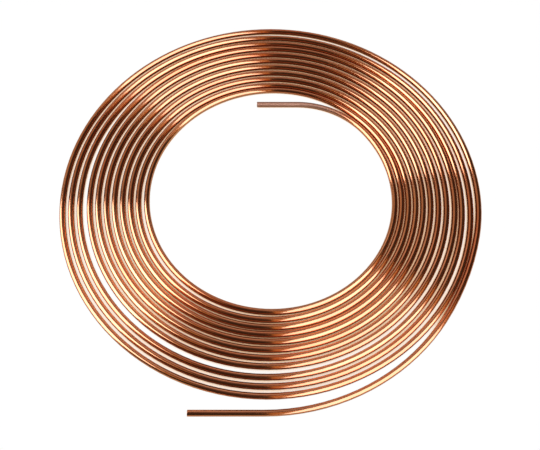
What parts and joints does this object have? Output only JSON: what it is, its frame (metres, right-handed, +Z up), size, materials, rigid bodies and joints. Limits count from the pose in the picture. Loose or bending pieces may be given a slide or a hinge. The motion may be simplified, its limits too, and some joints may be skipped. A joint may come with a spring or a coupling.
{
  "type": "copper tube coil",
  "caption": "Flat single-layer coil of soft copper tube, with a straight cut end outside the coil and another inside its eye.",
  "frame": {"origin": "centre of the coil's bounding box, on the floor that it lies on", "axes": "+Z up through the coil's eye, -X the way both cut ends point, -Y towards the outer end's side"},
  "size_m": [0.351, 0.3602, 0.0047],
  "materials": {
    "copper": "bright drawn copper with a light tarnish"
  },
  "bodies": {
    "root": {"copper_tube": "copper"}
  },
  "joints": []
}
